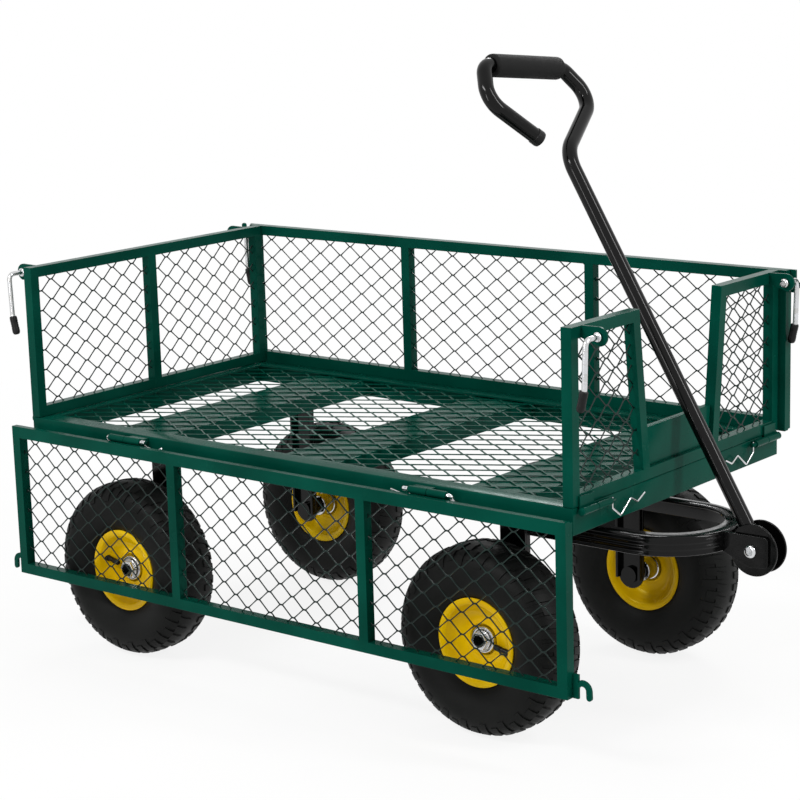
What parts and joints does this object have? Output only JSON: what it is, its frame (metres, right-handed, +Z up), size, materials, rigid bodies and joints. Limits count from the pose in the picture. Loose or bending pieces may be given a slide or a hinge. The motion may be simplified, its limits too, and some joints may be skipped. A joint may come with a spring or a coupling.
{
  "type": "garden cart",
  "caption": "Flat-bed garden cart with hinged steel-mesh panels, air-filled wheels, a steered front axle and a tilting pull handle with a loop grip.",
  "frame": {"origin": "on the ground, under the middle of the whole cart's bounding box", "axes": "+X forwards towards the pull handle, +Y to the cart's left, +Z up"},
  "size_m": [1.1346, 0.5436, 0.8552],
  "materials": {
    "green_paint": "satin",
    "black_paint": "gloss",
    "yellow_paint": "satin",
    "zinc": "satin",
    "tyre_rubber": "matte",
    "grip_foam": "matte",
    "black_plastic": "matte"
  },
  "bodies": {
    "chassis": {"bed_frame": "green_paint", "bed_crossmembers": "green_paint", "deck_mesh": "green_paint", "rail_hinge_knuckles": "green_paint", "right_hinge_pins": "zinc", "left_hinge_pins": "zinc", "rear_hinge_pins": "zinc", "front_hinge_pins": "zinc", "hinge_clips": "zinc", "turntable_plate": "black_paint", "king_pin": "zinc", "rear_leg_left": "black_paint", "rear_leg_right": "black_paint", "rear_axle": "black_paint", "rear_axle_nuts": "zinc"},
    "steering": {"steering_yoke": "black_paint", "front_axle_frame": "black_paint", "thrust_washer": "zinc", "front_axle": "black_paint", "front_axle_nuts": "zinc", "handle_pivot_bolt": "zinc"},
    "handle": {"handle_bracket": "black_paint", "handle_tube": "black_paint", "handle_grip": "grip_foam", "handle_end_cap": "black_plastic"},
    "right_side_panel": {"right_side_frame": "green_paint", "right_side_mesh": "green_paint", "right_side_hooks": "green_paint"},
    "left_side_panel": {"left_side_frame": "green_paint", "left_side_mesh": "green_paint", "left_side_hooks": "green_paint"},
    "rear_panel": {"rear_panel_frame": "green_paint", "rear_panel_mesh": "green_paint", "rear_latch_ears": "green_paint"},
    "front_panel": {"front_panel_frame": "green_paint", "front_panel_mesh": "green_paint", "front_notch_plate": "green_paint", "front_latch_ears": "green_paint"},
    "right_front_wheel": {"right_front_tyre": "tyre_rubber", "right_front_rim": "yellow_paint", "right_front_hub": "zinc"},
    "left_front_wheel": {"left_front_tyre": "tyre_rubber", "left_front_rim": "yellow_paint", "left_front_hub": "zinc"},
    "right_rear_wheel": {"right_rear_tyre": "tyre_rubber", "right_rear_rim": "yellow_paint", "right_rear_hub": "zinc"},
    "left_rear_wheel": {"left_rear_tyre": "tyre_rubber", "left_rear_rim": "yellow_paint", "left_rear_hub": "zinc"},
    "right_rear_latch": {"right_rear_latch_lever": "zinc", "right_rear_latch_grip": "black_plastic"},
    "left_rear_latch": {"left_rear_latch_lever": "zinc", "left_rear_latch_grip": "black_plastic"},
    "right_front_latch": {"right_front_latch_lever": "zinc", "right_front_latch_grip": "black_plastic"},
    "left_front_latch": {"left_front_latch_lever": "zinc", "left_front_latch_grip": "black_plastic"}
  },
  "joints": [
    {"name": "steering_turn", "type": "hinge", "parent": "chassis", "child": "steering", "pos_m": [0.25425, 0.00525, 0.298], "axis": [0, 0, 1], "range_deg": [-20, 20]},
    {"name": "handle_swing", "type": "hinge", "parent": "steering", "child": "handle", "pos_m": [0.53325, 0.00525, 0.242], "axis": [0, 1, 0], "range_deg": [0, 125]},
    {"name": "right_side_swing", "type": "hinge", "parent": "chassis", "child": "right_side_panel", "pos_m": [-0.05375, -0.25625, 0.327], "axis": [-1, 0, 0], "range_deg": [0, 180]},
    {"name": "left_side_swing", "type": "hinge", "parent": "chassis", "child": "left_side_panel", "pos_m": [-0.05375, 0.26675, 0.327], "axis": [-1, 0, 0], "range_deg": [0, 180]},
    {"name": "rear_panel_swing", "type": "hinge", "parent": "chassis", "child": "rear_panel", "pos_m": [-0.53525, 0.00525, 0.327], "axis": [0, -1, 0], "range_deg": [0, 180]},
    {"name": "front_panel_swing", "type": "hinge", "parent": "chassis", "child": "front_panel", "pos_m": [0.42775, 0.00525, 0.327], "axis": [0, 1, 0], "range_deg": [0, 10]},
    {"name": "right_front_wheel_spin", "type": "hinge", "parent": "steering", "child": "right_front_wheel", "pos_m": [0.25425, -0.18875, 0.127], "axis": [0, 1, 0], "continuous": true},
    {"name": "left_front_wheel_spin", "type": "hinge", "parent": "steering", "child": "left_front_wheel", "pos_m": [0.25425, 0.19925, 0.127], "axis": [0, 1, 0], "continuous": true},
    {"name": "right_rear_wheel_spin", "type": "hinge", "parent": "chassis", "child": "right_rear_wheel", "pos_m": [-0.35875, -0.20975, 0.127], "axis": [0, 1, 0], "continuous": true},
    {"name": "left_rear_wheel_spin", "type": "hinge", "parent": "chassis", "child": "left_rear_wheel", "pos_m": [-0.35875, 0.22025, 0.127], "axis": [0, 1, 0], "continuous": true},
    {"name": "right_rear_latch_turn", "type": "hinge", "parent": "rear_panel", "child": "right_rear_latch", "pos_m": [-0.55375, -0.24575, 0.54], "axis": [0, 1, 0], "range_deg": [0, 180]},
    {"name": "left_rear_latch_turn", "type": "hinge", "parent": "rear_panel", "child": "left_rear_latch", "pos_m": [-0.55375, 0.25625, 0.54], "axis": [0, 1, 0], "range_deg": [0, 180]},
    {"name": "right_front_latch_turn", "type": "hinge", "parent": "front_panel", "child": "right_front_latch", "pos_m": [0.44625, -0.24575, 0.54], "axis": [0, -1, 0], "range_deg": [0, 180]},
    {"name": "left_front_latch_turn", "type": "hinge", "parent": "front_panel", "child": "left_front_latch", "pos_m": [0.44625, 0.25625, 0.54], "axis": [0, -1, 0], "range_deg": [0, 180]}
  ]
}
